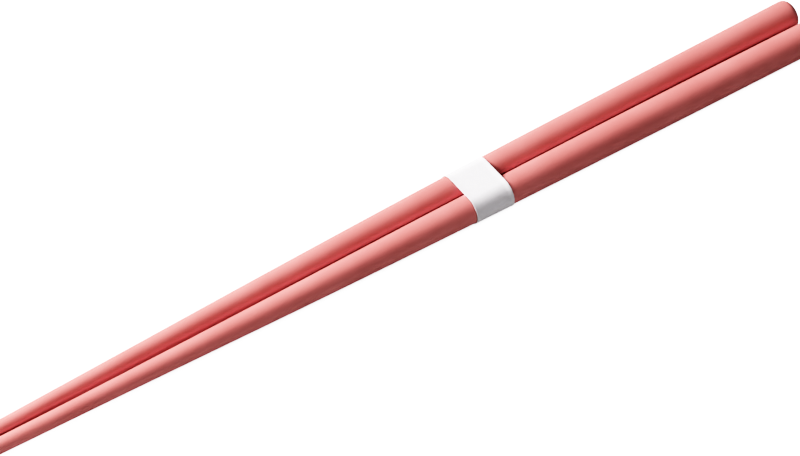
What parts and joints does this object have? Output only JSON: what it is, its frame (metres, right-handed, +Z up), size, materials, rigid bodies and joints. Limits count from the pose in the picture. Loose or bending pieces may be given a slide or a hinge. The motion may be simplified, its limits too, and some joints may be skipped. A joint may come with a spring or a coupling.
{
  "type": "pair of chopsticks",
  "caption": "Pair of round tapered ceramic chopsticks lying side by side, held together by a plain white paper band glued underneath.",
  "frame": {"origin": "on the table, below the middle of the pair's length and width", "axes": "+X along the pair, towards the thick butt ends; +Y across it, from the left to the right chopstick; +Z up"},
  "size_m": [0.24, 0.0168, 0.0079],
  "materials": {
    "chopstick_glaze": "satin coral pink glaze, soft sheen, faint fine grain",
    "band_paper": "plain matt white, uncoated"
  },
  "bodies": {
    "root": {"left_chopstick": "chopstick_glaze", "right_chopstick": "chopstick_glaze", "paper_band": "band_paper"}
  },
  "joints": []
}
